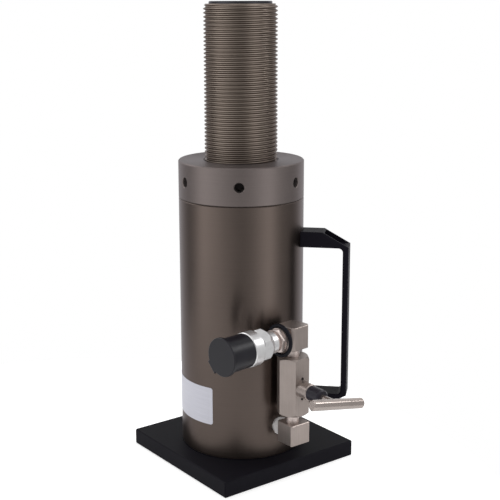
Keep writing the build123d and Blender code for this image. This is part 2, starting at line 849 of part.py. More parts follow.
# Upper nipple: a threaded tube between the valve and the upper block
with BuildPart() as upper_nipple:
    upper_nipple_top = upper_block_bottom + nipple_thread_length
    ring_on(valve_plane, upper_thread_start, upper_nipple_top, fitting_oilway_radius, nipple_radius)

# Upper block: a square elbow that turns the oil towards the coupler
coupler_thread_start = block_half - block_thread_length
upper_block_base = Plane(
    (0, -valve_reach, upper_block_bottom), x_dir=coupler_plane.x_dir, z_dir=(0, 0, 1)
)
with BuildPart() as upper_block:
    with BuildSketch(upper_block_base):
        Rectangle(upper_block_size, upper_block_size)
    extrude(amount=upper_block_size)
    chamfer(upper_block.edges().filter_by(Axis.Z), upper_block_edge_chamfer)
    end_faces = upper_block.faces().filter_by(Axis.Z)
    chamfer(end_faces[0].edges() + end_faces[-1].edges(), block_face_chamfer)
    round_bar(
        valve_plane, upper_block_bottom, upper_nipple_top, nipple_socket_radius, Mode.SUBTRACT
    )
    round_bar(valve_plane, upper_block_bottom, coupler_height, fitting_oilway_radius, Mode.SUBTRACT)
    round_bar(coupler_plane, 0, block_half, fitting_oilway_radius, Mode.SUBTRACT)
    round_bar(coupler_plane, coupler_thread_start, block_half, block_socket_radius, Mode.SUBTRACT)

# Coupler nipple: a shoulder that carries the tether ring, then a hexagon and a neck
coupler_neck_radius = coupler_neck_diameter / 2
shoulder_radius = coupler_shoulder_diameter / 2
shoulder_end = coupler_shoulder_start + coupler_shoulder_length
nipple_hex_end = shoulder_end + coupler_nipple_length
tail_thread_end = coupler_tail_start + coupler_tail_thread_length
with BuildPart() as coupler_nipple:
    hexagon_bar(
        coupler_plane,
        shoulder_end,
        nipple_hex_end,
        coupler_nipple_flats,
        coupler_nipple_chamfer,
        coupler_nipple_turn,
    )
    round_bar(coupler_plane, coupler_thread_start, block_half, block_thread_radius)
    round_bar(coupler_plane, block_half, coupler_shoulder_start, coupler_neck_radius)
    round_bar(coupler_plane, coupler_shoulder_start, shoulder_end, shoulder_radius)
    round_bar(coupler_plane, nipple_hex_end, coupler_tail_start, coupler_neck_radius)
    round_bar(coupler_plane, coupler_tail_start, tail_thread_end, nipple_radius)
    round_bar(
        coupler_plane, coupler_thread_start, tail_thread_end, fitting_oilway_radius, Mode.SUBTRACT
    )

# Tether ring: a round rubber cord that hangs on the nipple's shoulder
tether_inner = tether_ring_inner_diameter / 2
tether_cord_radius = tether_cord_diameter / 2
tether_drop = tether_inner - shoulder_radius - seat_gap
tether_plane = raised(coupler_plane, -tether_drop)
tether_station = coupler_shoulder_start + coupler_shoulder_length / 2
with BuildPart() as tether_ring:
    with BuildSketch(tether_plane):
        with Locations((tether_station, tether_inner + tether_cord_radius)):
            Circle(tether_cord_radius)
    revolve(axis=axis_of(tether_plane))

# Coupler body: tail, hexagon with a long turned shoulder, and nose, bored for the check valve
coupler_nose_radius = coupler_nose_diameter / 2
check_chamber_radius = check_chamber_diameter / 2
poppet_radius = poppet_diameter / 2
coupler_nose_end = check_seat_reach + poppet_nose_length
sleeve_end = coupler_nose_end + sleeve_past_nose
sleeve_thread_start = sleeve_end - sleeve_thread_depth
front_seal_start = check_seat_reach + front_seal_land
front_seal_end = front_seal_start + front_seal_width
sleeve_clip_start = sleeve_thread_start + running_clearance
sleeve_clip_end = sleeve_clip_start + sleeve_clip_width
clip_seat_radius = coupler_nose_radius - sleeve_clip_groove_depth
with BuildPart() as coupler_body:
    hexagon_bar(
        coupler_plane,
        coupler_tail_end,
        coupler_hex_end,
        coupler_hex_flats,
        coupler_hex_chamfer,
        coupler_hex_turn,
    )
    coupler_hex_corner = coupler_hex_flats / sqrt(3)
    cone_end = coupler_tail_end + coupler_cone_length
    cone_outline = [
        (coupler_tail_end, 0),
        (coupler_tail_end, coupler_cone_diameter / 2),
        (cone_end, coupler_hex_corner),
        (coupler_hex_end, coupler_hex_corner),
        (coupler_hex_end, 0),
    ]
    turned(coupler_plane, cone_outline, axis_of(coupler_plane), Mode.INTERSECT)
    round_bar(coupler_plane, coupler_tail_start, coupler_tail_end, coupler_tail_diameter / 2)
    round_bar(coupler_plane, coupler_hex_end, coupler_nose_end, coupler_nose_radius)
    tail_edges = circles_of(coupler_body, coupler_tail_diameter / 2)
    chamfer(tail_edges.sort_by(Axis.X)[-1], coupler_tail_chamfer)
    round_bar(
        coupler_plane, coupler_tail_start, tail_thread_end, nipple_socket_radius, Mode.SUBTRACT
    )
    round_bar(coupler_plane, tail_thread_end, check_chamber_start, fitting_oilway_radius, Mode.SUBTRACT)
    round_bar(
        coupler_plane, check_chamber_start, check_seat_reach, check_chamber_radius, Mode.SUBTRACT
    )
    round_bar(
        coupler_plane, check_seat_reach, coupler_nose_end, poppet_radius + moving_gap, Mode.SUBTRACT
    )
    round_bar(
        coupler_plane, front_seal_start, front_seal_end, front_seal_diameter / 2, Mode.SUBTRACT
    )
    ring_on(
        coupler_plane,
        sleeve_clip_start,
        sleeve_clip_end,
        clip_seat_radius,
        coupler_nose_radius + 1,
        Mode.SUBTRACT,
    )

# Coupler seal: grips the poppet's nose when it is shut
with BuildPart() as coupler_seal:
    ring_on(
        coupler_plane,
        front_seal_start,
        front_seal_end,
        poppet_radius + running_clearance,
        front_seal_diameter / 2 - seat_gap,
    )

# Coupler poppet: nose, flange and spring tail
flange_start = check_seat_reach - poppet_flange_length
with BuildPart() as coupler_poppet:
    poppet_tail_radius = poppet_tail_diameter / 2
    poppet_outline = [
        (flange_start - poppet_tail_length, 0),
        (flange_start - poppet_tail_length, poppet_tail_radius),
        (flange_start, poppet_tail_radius),
        (flange_start, poppet_flange_diameter / 2),
        (check_seat_reach, poppet_flange_diameter / 2),
        (check_seat_reach, poppet_radius),
        (coupler_nose_end, poppet_radius),
        (coupler_nose_end, 0),
    ]
    turned(coupler_plane, poppet_outline, axis_of(coupler_plane))

# Check spring: a coil of square wire between the chamber's floor and the poppet's flange
check_wire_radius = check_spring_wire / 2
check_spring_length = flange_start - check_chamber_start - check_spring_wire
with BuildPart() as check_spring:
    with BuildLine() as spring_path:
        Helix(
            pitch=check_spring_length / check_spring_turns,
            height=check_spring_length,
            radius=check_spring_diameter / 2 - check_wire_radius,
            center=facing(coupler_plane, check_chamber_start + check_wire_radius).origin,
            direction=coupler_plane.x_dir,
        )
    with BuildSketch(Plane(spring_path.line @ 0, z_dir=spring_path.line % 0)):
        Rectangle(check_spring_wire, check_spring_wire)
    sweep(path=spring_path.line, is_frenet=True)

# Coupler sleeve: turns on the nose and takes the hose half inside its front
sleeve_start = coupler_hex_end + sleeve_end_gap
sleeve_step = sleeve_start + sleeve_band_length
sleeve_radius = sleeve_diameter / 2
sleeve_front_radius = sleeve_front_diameter / 2
sleeve_bore_radius = coupler_nose_radius + running_clearance
with BuildPart() as coupler_sleeve:
    sleeve_outline = [
        (sleeve_start, sleeve_bore_radius),
        (sleeve_start, sleeve_radius - sleeve_edge_chamfer),
        (sleeve_start + sleeve_edge_chamfer, sleeve_radius),
        (sleeve_step - sleeve_edge_chamfer, sleeve_radius),
        (sleeve_step, sleeve_radius - sleeve_edge_chamfer),
        (sleeve_step, sleeve_front_radius),
        (sleeve_end, sleeve_front_radius),
        (sleeve_end, sleeve_thread_bore / 2),
        (sleeve_thread_start, sleeve_thread_bore / 2),
        (sleeve_thread_start, sleeve_bore_radius),
    ]
    turned(coupler_plane, sleeve_outline, axis_of(coupler_plane))

# Sleeve clip: a split ring that keeps the sleeve on the nose
with BuildPart() as sleeve_clip:
    ring_on(
        coupler_plane,
        sleeve_clip_start,
        sleeve_clip_end,
        clip_seat_radius + seat_gap,
        sleeve_clip_diameter / 2,
        arc=360 - clip_gap_angle,
    )

# Dust cap: a tapered rubber cup with a rim and a pull tab at its closed end
cap_start = sleeve_step + cap_gap
cap_end = sleeve_end + cap_past_sleeve
cap_rim_start = cap_end - cap_rim_length
cap_rim_radius = cap_rim_diameter / 2
with BuildPart() as dust_cap:
    cap_outline = [
        (cap_start, 0),
        (cap_start, cap_rear_diameter / 2),
        (cap_rim_start, cap_front_diameter / 2),
        (cap_rim_start, cap_rim_radius),
        (cap_end, cap_rim_radius),
        (cap_end, 0),
    ]
    turned(coupler_plane, cap_outline, axis_of(coupler_plane))
    with BuildSketch(facing(coupler_plane, cap_rim_start)):
        with PolarLocations(0, 1, cap_tab_angle):
            with Locations(((cap_rim_radius + cap_tab_drop) / 2, 0)):
                Rectangle(cap_rim_radius + cap_tab_drop, cap_tab_width)
    extrude(amount=cap_rim_length)
    front_edges = dust_cap.faces().sort_by(axis_of(coupler_plane))[-1].edges()
    fillet(front_edges, cap_front_edge_radius)
    cap_bore_end = sleeve_end + sleeve_end_gap
    cap_bore_radius = sleeve_front_radius + running_clearance
    round_bar(coupler_plane, cap_start, cap_bore_end, cap_bore_radius, Mode.SUBTRACT)
    round_bar(
        coupler_plane, cap_bore_end, cap_end - cap_front_wall, sleeve_thread_bore / 2, Mode.SUBTRACT
    )

# Data label: a thin blank plate bent round the barrel
label_arc = label_arc_length / barrel_radius
label_plane = side_plane((0, 0, label_centre_height), label_end_angle - degrees(label_arc / 2))
label_outer_radius = barrel_radius + label_thickness
with BuildPart() as data_label:
    with BuildSketch(facing(label_plane, 0)):
        RectangleRounded(2 * label_outer_radius * sin(label_arc / 2), label_height, label_corner_radius)
    extrude(amount=label_outer_radius + 1)
    band(
        label_centre_height - label_height / 2,
        label_centre_height + label_height / 2,
        barrel_radius + seat_gap,
        label_outer_radius,
        Mode.INTERSECT,
    )

pieces = {
    "base_plate": base_plate,
    "base_screws": base_screws,
    "barrel": barrel,
    "stop_ring": stop_ring,
    "rod_wiper": rod_wiper,
    "ram": ram,
    "wear_rings": wear_rings,
    "piston_seal": piston_seal,
    "backup_ring": backup_ring,
    "saddle": saddle,
    "saddle_clip": saddle_clip,
    "lock_collar": lock_collar,
    "carry_handle": carry_handle,
    "handle_screws": handle_screws,
    "port_adapter": port_adapter,
    "lower_block": lower_block,
    "lower_nipple": lower_nipple,
    "valve_body": valve_body,
    "bonnet_pins": bonnet_pins,
    "valve_bonnet": valve_bonnet,
    "valve_packing": valve_packing,
    "gland_nut": gland_nut,
    "valve_spindle": valve_spindle,
    "tee_bar": tee_bar,
    "upper_nipple": upper_nipple,
    "upper_block": upper_block,
    "coupler_nipple": coupler_nipple,
    "tether_ring": tether_ring,
    "coupler_body": coupler_body,
    "coupler_seal": coupler_seal,
    "coupler_poppet": coupler_poppet,
    "check_spring": check_spring,
    "coupler_sleeve": coupler_sleeve,
    "sleeve_clip": sleeve_clip,
    "dust_cap": dust_cap,
    "data_label": data_label,
}

os.makedirs("parts", exist_ok=True)
for name, piece in pieces.items():
    piece.part.label = name
    export_step(piece.part, f"parts/{name}.step")
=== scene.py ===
import bpy
import bmesh
import json
from math import ceil, cos, floor, pi, radians, sin
from mathutils import Matrix, Vector


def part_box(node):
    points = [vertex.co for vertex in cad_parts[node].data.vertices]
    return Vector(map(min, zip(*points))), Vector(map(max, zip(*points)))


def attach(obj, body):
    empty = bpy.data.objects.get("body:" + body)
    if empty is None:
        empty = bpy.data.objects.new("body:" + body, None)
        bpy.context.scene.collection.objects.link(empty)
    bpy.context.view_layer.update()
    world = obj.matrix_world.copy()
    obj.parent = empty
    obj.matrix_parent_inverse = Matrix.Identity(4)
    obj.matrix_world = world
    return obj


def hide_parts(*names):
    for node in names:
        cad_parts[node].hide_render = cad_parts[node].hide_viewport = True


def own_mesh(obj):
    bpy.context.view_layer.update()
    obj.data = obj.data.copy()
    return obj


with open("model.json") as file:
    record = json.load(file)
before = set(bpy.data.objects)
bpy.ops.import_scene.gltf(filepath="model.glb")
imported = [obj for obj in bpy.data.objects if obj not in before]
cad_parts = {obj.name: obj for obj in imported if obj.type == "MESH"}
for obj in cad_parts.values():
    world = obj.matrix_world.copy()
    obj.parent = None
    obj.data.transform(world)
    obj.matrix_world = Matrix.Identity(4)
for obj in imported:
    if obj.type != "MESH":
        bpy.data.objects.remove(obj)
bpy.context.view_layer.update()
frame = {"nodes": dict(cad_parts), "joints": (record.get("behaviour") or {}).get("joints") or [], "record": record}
cad_nodes = frame["nodes"]

MM = 0.001

# The ram and its lock thread, M75 x 4, right hand
THREAD_RADIUS = 37.5 * MM
THREAD_PITCH = 4 * MM
THREAD_DEPTH = 0.555 * THREAD_PITCH
CREST_HALF = 0.108
ROOT_HALF = 0.085
CORNER_ROUND = 0.022
CREST_EDGE_CUT = 0.035
ROOT_EDGE_CUT = 0.955
ROOT_CUT = 0.995
RUN_OUT_TURNS = 1.5
COLUMNS = 96
RUNNING_CLEARANCE = 0.06 * MM
PISTON_HEIGHT = 55 * MM
PISTON_OIL_CHAMFER = 7 * MM
WEAR_RING_DEPTH = 2.4 * MM
WEAR_RING_WIDTH = 10 * MM
PISTON_GAP = 0.6 * MM
SEAL_DEPTH = 5.5 * MM
SADDLE_SIDE_GAP = 0.4 * MM
SADDLE_HEIGHT = 9 * MM
SPIGOT_RADIUS = 13 * MM
SPIGOT_EXTRA_DEPTH = 4 * MM
CLIP_GROOVE_DEPTH = 1.5 * MM
CLIP_SIDE_GAP = 0.33 * MM
THREADED_BELOW_STOP_RING = 12 * MM

# The coupler's check spring
SPRING_START = 48 * MM
SPRING_LENGTH = 27 * MM
SPRING_WIRE = 1 * MM
SPRING_DIAMETER = 10.8 * MM
SPRING_TURNS = 5
SPRING_COLUMNS = 32
SPRING_END_TURNS = 0.08
WIRE_CORNERS = 12

# The camera: the barrel's axis is seen from 1.08 m away, a little from above
CAMERA_PLACE = Vector((-0.6473, -0.8646, 0.4827))
CAMERA_PITCH = 0.220
CAMERA_ROLL = -0.004
FOCAL_PIXELS = 1053.74
FRAME_PIXELS = 500
AXIS_PIXEL = (241.41, 234.89)
SENSOR_WIDTH = 36


class Signal:
    """An output socket in a tree of nodes. Arithmetic on signals adds Math nodes."""

    def __init__(self, tree, socket):
        self.tree = tree
        self.socket = socket

    def combined(self, operation, first, second):
        node = self.tree.nodes.new("ShaderNodeMath")
        node.operation = operation
        connect(self.tree, node.inputs[0], first)
        connect(self.tree, node.inputs[1], second)
        return Signal(self.tree, node.outputs[0])

    def __add__(self, other):
        return self.combined("ADD", self, other)

    def __radd__(self, other):
        return self.combined("ADD", other, self)

    def __sub__(self, other):
        return self.combined("SUBTRACT", self, other)

    def __rsub__(self, other):
        return self.combined("SUBTRACT", other, self)

    def __mul__(self, other):
        return self.combined("MULTIPLY", self, other)

    def __rmul__(self, other):
        return self.combined("MULTIPLY", other, self)

    def __truediv__(self, other):
        return self.combined("DIVIDE", self, other)


def connect(tree, socket, value):
    """Link a signal to a socket, or set the socket to a plain value."""
    if isinstance(value, Signal):
        tree.links.new(value.socket, socket)
    else:
        socket.default_value = value


class Nodes:
    """A tree of nodes that a finish, the studio or a helix is made of."""

    def __init__(self, tree):
        self.tree = tree

    def add(self, kind, settings=None, inputs=None, output=0):
        """Add a node: its settings come first, then the values or links of its sockets."""
        node = self.tree.nodes.new(kind)
        for name, value in (settings or {}).items():
            setattr(node, name, value)
        for name, value in (inputs or {}).items():
            connect(self.tree, node.inputs[name], value)
        return Signal(self.tree, node.outputs[output])

    def between(self, share, first, second):
        """A colour between two others."""
        return self.add(
            "ShaderNodeMix", {"data_type": "RGBA"}, {0: share, 6: first, 7: second}, output=2
        )


class Finish(Nodes):
    """One procedural finish: nodes that end in its Principled shader."""

    def __init__(self, name):
        self.material = bpy.data.materials.new(name)
        self.material.use_nodes = True
        super().__init__(self.material.node_tree)
        self.shader = self.tree.nodes["Principled BSDF"]
        self.place = self.add("ShaderNodeTexCoord", output="Object")

    def stretched(self, along_x, along_y, along_z):
        """The place on the piece, in cycles per metre along each axis."""
        return self.add(
            "ShaderNodeMapping", inputs={"Vector": self.place, "Scale": (along_x, along_y, along_z)}
        )

    def clouds(self, vector, scale=1, detail=3, roughness=0.5):
        return self.add(
            "ShaderNodeTexNoise",
            inputs={"Vector": vector, "Scale": scale, "Detail": detail, "Roughness": roughness},
        )

    def spread(self, signal, low, high):
        """A signal made 0 at low and 1 at high, and held there beyond them."""
        return self.add(
            "ShaderNodeMapRange", inputs={"Value": signal, "From Min": low, "From Max": high}
        )

    def varied(self, share, colour, variation):
        """A colour that runs from a little darker to a little lighter."""
        return self.between(share, shaded(colour, 1 - variation), shaded(colour, 1 + variation))

    def relief(self, height, depth, strength=0.3):
        return self.add(
            "ShaderNodeBump", inputs={"Height": height, "Distance": depth, "Strength": strength}
        )

    def shade(self, **sockets):
        """Set or link the shader's sockets, with spaces in their names written as underscores."""
        for name, value in sockets.items():
            connect(self.tree, self.shader.inputs[name.replace("_", " ")], value)
        return self.material


def shaded(colour, factor):
    """A colour made darker or lighter, as a socket wants it."""
    return tuple(part * factor for part in colour) + (1,)


# Finishes
RING_SCALE = 900
QUARTER_TURN = 0.25
UNEVENNESS = 0.06
FINE_RELIEF = 0.004 * MM
PEEL_RELIEF = 0.012 * MM
PLATING_RELIEF = 0.0006 * MM
RUBBED_SHARE = 0.3
EDGE_TINT = (0.78, 0.77, 0.80, 1)

# The collar's tommy holes, where painted shade darkens the collar's colour to a little past their walls
TOMMY_RADIUS = 5.2 * MM
TOMMY_HEIGHT = 302.4 * MM
TOMMY_FIRST = radians(-128.6)
TOMMY_STEP = radians(60)
TOMMY_EDGE = 0.97
HOLE_SHADE_START, HOLE_SHADE_FULL = 0.8 * MM, 2.5 * MM
HOLE_SHADE_FADE, HOLE_SHADE_END = 18 * MM, 19 * MM
HOLE_SHADE = 0.45
HOLE_SHADE_METAL_LOSS = 0.5
HOLE_ROUGHNESS = 0.3
collar_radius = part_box("lock_collar")[1].x


def turned_look(finish, colour, variation, roughness):
    """Fine rings about the barrel's axis, and the colour and roughness that go with them."""
    rings = finish.clouds(finish.stretched(3, 3, RING_SCALE))
    mottle = finish.clouds(finish.place, scale=26, detail=5, roughness=0.6)
    share = finish.spread(0.5 * rings + 0.5 * mottle, 0.35, 0.65)
    uneven = roughness + UNEVENNESS * (mottle - 0.5) + UNEVENNESS * (rings - 0.5)
    return rings, finish.varied(share, colour, variation), uneven


def turned_metal(
    name, colour, roughness, variation=0.06, depth=FINE_RELIEF, lay=0.0, metal=1.0, edge=EDGE_TINT
):
    """Metal turned about the barrel's axis. Its fine rings spread what it mirrors up and down."""
    finish = Finish(name)
    rings, tone, uneven = turned_look(finish, colour, variation, roughness)
    return finish.shade(
        Base_Color=tone,
        Metallic=metal,
        Specular_Tint=edge,
        Anisotropic=lay,
        Anisotropic_Rotation=QUARTER_TURN,
        Roughness=uneven,
        Normal=finish.relief(rings, depth),
    )


def holed_metal(name, colour, roughness, variation, lay, metal):
    """The lock collar's turned steel, with painted shade inside its tommy holes."""
    finish = Finish(name)
    rings, tone, uneven = turned_look(finish, colour, variation, roughness)
    x, y, z = (
        finish.add("ShaderNodeSeparateXYZ", inputs={0: finish.place}, output=axis) for axis in "XYZ"
    )
    level = finish.add(
        "ShaderNodeVectorMath", {"operation": "MULTIPLY"}, {0: finish.place, 1: (1, 1, 0)}
    )
    reach = finish.add("ShaderNodeVectorMath", {"operation": "LENGTH"}, {0: level}, "Value")
    half_step = TOMMY_STEP / 2
    shifted = y.combined("ARCTAN2", y, x) - TOMMY_FIRST + half_step
    off_axis = reach * (shifted.combined("FLOORED_MODULO", shifted, TOMMY_STEP) - half_step)
    off_height = z - TOMMY_HEIGHT
    off_centre = off_axis * off_axis + off_height * off_height
    inside = finish.spread(off_centre, TOMMY_RADIUS**2, (TOMMY_EDGE * TOMMY_RADIUS) ** 2)
    deep = finish.spread(reach, collar_radius - HOLE_SHADE_START, collar_radius - HOLE_SHADE_FULL)
    outside_bore = finish.spread(reach, collar_radius - HOLE_SHADE_END, collar_radius - HOLE_SHADE_FADE)
    # Painted shade: inside each tommy hole the colour is darkened and the steel made less metallic and rougher
    black = inside * deep * outside_bore
    return finish.shade(
        Base_Color=finish.between(black, tone, shaded(colour, HOLE_SHADE)),
        Metallic=metal - HOLE_SHADE_METAL_LOSS * black,
        Specular_Tint=EDGE_TINT,
        Anisotropic=lay,
        Anisotropic_Rotation=QUARTER_TURN,
        Roughness=uneven + HOLE_ROUGHNESS * black,
        Normal=finish.relief(rings, FINE_RELIEF),
    )


def ground_metal(name, colour, roughness, metal=1.0):
    """Ground or drawn metal: scratches that run one way, under a faint mottle."""
    finish = Finish(name)
    scratches = finish.clouds(finish.stretched(900, 900, 30), detail=4, roughness=0.6)
    mottle = finish.clouds(finish.place, scale=55, detail=4)
    share = finish.spread(0.5 * scratches + 0.5 * mottle, 0.38, 0.62)
    return finish.shade(
        Base_Color=finish.varied(share, colour, variation=0.07),
        Metallic=metal,
        Roughness=roughness + 0.10 * (scratches - 0.5) + 0.08 * (mottle - 0.5),
        Normal=finish.relief(scratches, FINE_RELIEF),
    )


def plated_metal(name, colour, stain, roughness, metal, depth=PLATING_RELIEF):
    """Bright plating over machined steel: cloudy gloss and a few dull stains."""
    finish = Finish(name)
    cloud = finish.clouds(finish.place, scale=140, detail=4, roughness=0.6)
    swell = finish.clouds(finish.place, scale=420, detail=1)
    dull = finish.spread(cloud, 0.46, 0.74)
    return finish.shade(
        Base_Color=finish.between(dull, shaded(colour, 1), shaded(stain, 1)),
        Metallic=metal,
        Roughness=roughness + 0.10 * dull,
        Normal=finish.relief(swell, depth, 0.2),
    )


def coated(name, colour, roughness, gloss, grain=900):
    """A black coat with a fine orange peel and a few paler rubbed places."""
    finish = Finish(name)
    peel = finish.clouds(finish.place, scale=grain, detail=2)
    wear = finish.clouds(finish.place, scale=38, detail=6, roughness=0.7)
    rubbed = finish.spread(wear, 0.58, 0.75)
    return finish.shade(
        Base_Color=finish.between(RUBBED_SHARE * rubbed, shaded(colour, 1), shaded(colour, 2.2)),
        Metallic=0,
        Specular_IOR_Level=gloss,
        Roughness=roughness + 0.08 * (peel - 0.5) + 0.06 * rubbed,
        Normal=finish.relief(peel, PEEL_RELIEF),
    )


def moulded(name, colour, roughness, depth=0.006 * MM, gloss=0.3):
    """Moulded rubber or plastic: a soft sheen with a faint bloom and a fine skin."""
    finish = Finish(name)
    bloom = finish.spread(finish.clouds(finish.place, scale=70, detail=5, roughness=0.6), 0.45, 0.7)
    skin = finish.clouds(finish.place, scale=700, detail=2)
    return finish.shade(
        Base_Color=finish.between(0.5 * bloom, shaded(colour, 1), shaded(colour, 1.7)),
        Metallic=0,
        Specular_IOR_Level=gloss,
        Roughness=roughness + 0.08 * bloom + 0.04 * (skin - 0.5),
        Normal=finish.relief(skin, depth),
    )


def brushed_foil(name, colour):
    """A bare metal label, brushed along its length."""
    finish = Finish(name)
    strokes = finish.clouds(finish.stretched(30, 30, 2600), detail=4, roughness=0.6)
    tone = finish.spread(strokes, 0.35, 0.65)
    return finish.shade(
        Base_Color=finish.between(tone, shaded(colour, 0.94), shaded(colour, 1.04)),
        Metallic=0,
        Specular_IOR_Level=0.4,
        Roughness=0.45 + 0.12 * (strokes - 0.5),
        Normal=finish.relief(strokes, FINE_RELIEF, 0.4),
    )


finishes = {
    "black_coating": coated("black_coating", (0.007, 0.0065, 0.0095), 0.55, gloss=0.06),
    "bronze_anodised": turned_metal("bronze_anodised", (0.105, 0.083, 0.073), 0.33, 0.04, lay=0.25),
    "ram_steel": turned_metal(
        "ram_steel", (0.225, 0.186, 0.158), 0.34, depth=0, metal=0.97, edge=(0.56, 0.55, 0.57, 1)
    ),
    "collar_steel": holed_metal(
        "collar_steel", (0.155, 0.131, 0.125), 0.46, variation=0.05, lay=0.5, metal=0.92
    ),
    "guide_bronze": turned_metal("guide_bronze", (0.500, 0.340, 0.160), 0.35),
    "seal_rubber": moulded("seal_rubber", (0.020, 0.032, 0.045), 0.45),
    "wear_polymer": moulded("wear_polymer", (0.220, 0.150, 0.085), 0.55),
    "saddle_steel": turned_metal("saddle_steel", (0.045, 0.045, 0.050), 0.36),
    "screw_steel": ground_metal("screw_steel", (0.060, 0.060, 0.065), 0.38),
    "handle_black": coated("handle_black", (0.008, 0.007, 0.011), 0.48, grain=1100, gloss=0.05),
    "zinc": plated_metal("zinc", (0.73, 0.725, 0.73), (0.62, 0.615, 0.62), 0.34, metal=0.9),
    "stainless": ground_metal("stainless", (0.345, 0.294, 0.271), 0.32, metal=0.78),
    # A darker copy of the stainless finish: painted shade on the valve body
    "shaded_valve_steel": ground_metal("shaded_valve_steel", (0.310, 0.265, 0.244), 0.32, metal=0.78),
    "nickel": plated_metal(
        "nickel", (0.58, 0.50, 0.47), (0.50, 0.43, 0.40), 0.34, depth=0, metal=0.8
    ),
    "gland_black": coated("gland_black", (0.018, 0.016, 0.024), 0.38, grain=1300, gloss=0.3),
    "spring_steel": ground_metal("spring_steel", (0.45, 0.45, 0.45), 0.30),
    "cap_rubber": moulded("cap_rubber", (0.005, 0.0045, 0.008), 0.36, depth=0.003 * MM),
    "galvanised": plated_metal(
        "galvanised", (0.92, 0.885, 0.88), (0.85, 0.82, 0.81), 0.42, metal=0.2
    ),
    "polished_steel": ground_metal("polished_steel", (0.41, 0.355, 0.330), 0.20, metal=0.88),
    "ring_rubber": moulded("ring_rubber", (0.006, 0.006, 0.009), 0.40, gloss=0.10),
    "label_metal": brushed_foil("label_metal", (0.62, 0.62, 0.69)),
}
slot_of = {part["node"]: part["material_slot"] for part in frame["record"]["subparts"]}
for name, thing in cad_nodes.items():
    thing.data.materials.clear()
    thing.data.materials.append(finishes[slot_of[name]])

# Five pieces look different from their slot's finish in the photograph
for name, finish in (
    ("valve_body", "shaded_valve_steel"),
    ("port_adapter", "galvanised"),
    ("tee_bar", "polished_steel"),
    ("valve_spindle", "polished_steel"),
    ("tether_ring", "ring_rubber"),
):
    cad_nodes[name].data.materials[0] = finishes[finish]

MERGE_DISTANCE = 0.001 * MM
SHORTEST_EDGE = 0.0005 * MM
SHARP_ANGLE = radians(28)


def smooth_but_sharp(mesh):
    """Smooth shading that breaks at sharp edges."""
    shape = bmesh.new()
    shape.from_mesh(mesh)
    bmesh.ops.remove_doubles(shape, verts=shape.verts, dist=MERGE_DISTANCE)
    bmesh.ops.dissolve_degenerate(shape, edges=shape.edges, dist=SHORTEST_EDGE)
    bmesh.ops.recalc_face_normals(shape, faces=shape.faces)
    for face in shape.faces:
        face.smooth = True
    for edge in shape.edges:
        edge.smooth = edge.is_manifold and edge.calc_face_angle(0) < SHARP_ANGLE
    shape.to_mesh(mesh)
    shape.free()


def add_piece(name, mesh, body, slot, *stands_for):
    """Put a finished mesh in the scene, on the body that carries it."""
    thing = bpy.data.objects.new(name, mesh)
    bpy.context.scene.collection.objects.link(thing)
    mesh.materials.clear()
    mesh.materials.append(finishes[slot])
    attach(thing, body)
    if stands_for:
        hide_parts(*stands_for)
    return thing


# One pitch of the lock thread: stations along the pitch and the share of the depth cut there
THREAD_PROFILE = [
    (-CREST_HALF + CORNER_ROUND, 0.0),
    (CREST_HALF - CORNER_ROUND, 0.0),
    (CREST_HALF + CORNER_ROUND, CREST_EDGE_CUT),
    (0.5 - ROOT_HALF - CORNER_ROUND, ROOT_EDGE_CUT),
    (0.5 - ROOT_HALF + CORNER_ROUND, ROOT_CUT),
    (0.5 + ROOT_HALF - CORNER_ROUND, ROOT_CUT),
    (0.5 + ROOT_HALF + CORNER_ROUND, ROOT_EDGE_CUT),
    (1 - CREST_HALF - CORNER_ROUND, CREST_EDGE_CUT),
]


def helix_rows(low, high, radius_at):
    """Rows of points that follow a right-hand thread, one row for each station of its profile."""
    first_turn = floor(low / THREAD_PITCH) - 1
    last_turn = floor(high / THREAD_PITCH) + 1
    rows = []
    for turn in range(first_turn, last_turn + 1):
        for station, share in THREAD_PROFILE:
            row = []
            for column in range(COLUMNS + 1):
                height = (turn + station + column / COLUMNS) * THREAD_PITCH
                height = min(max(height, low), high)
                angle = 2 * pi * column / COLUMNS
                cut = thread_cut(height, angle)
                radius = radius_at(height, cut)
                row.append((radius * cos(angle), radius * sin(angle), height))
            rows.append(row)
    return rows


def thread_cut(height, angle):
    """The share of the thread's depth that is cut at a place on its cylinder."""
    phase = (height / THREAD_PITCH - angle / (2 * pi)) % 1
    stations = THREAD_PROFILE + [(station + 1, share) for station, share in THREAD_PROFILE[:2]]
    for (start, before), (end, after) in zip(stations, stations[1:]):
        if start <= phase <= end:
            return before + (after - before) * (phase - start) / (end - start)
    return 0.0


def ring_row(radius, height):
    """A plain turned row with the same columns as the thread's."""
    steps = [2 * pi * column / COLUMNS for column in range(COLUMNS + 1)]
    return [(radius * cos(angle), radius * sin(angle), height) for angle in steps]


def skin(name, *groups):
    """A mesh with quads between the rows of each group."""
    points = []
    faces = []
    for rows in groups:
        for number, row in enumerate(rows):
            if number:
                start = len(points) - len(row)
                for column in range(len(row) - 1):
                    below = start + column
                    above = below + len(row)
                    faces.append((below, below + 1, above + 1, above))
            points.extend(row)
    mesh = bpy.data.meshes.new(name)
    mesh.from_pydata(points, [], faces)
    smooth_but_sharp(mesh)
    return mesh


# Ram: the piston, the rod with its full thread, and the pocket that holds the saddle
ram_low, ram_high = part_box("ram")
ram_top = ram_high.z
piston_bottom = ram_low.z
piston_top = piston_bottom + PISTON_HEIGHT
piston_radius = ram_high.x
thread_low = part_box("stop_ring")[0].z + THREADED_BELOW_STOP_RING
saddle_low, saddle_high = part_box("saddle")
pocket_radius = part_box("saddle")[1].x + SADDLE_SIDE_GAP
saddle_seat = saddle_high.z - SADDLE_HEIGHT
spigot_bore = SPIGOT_RADIUS + RUNNING_CLEARANCE
clip_low, clip_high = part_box("saddle_clip")
bore_radius = piston_radius + PISTON_GAP


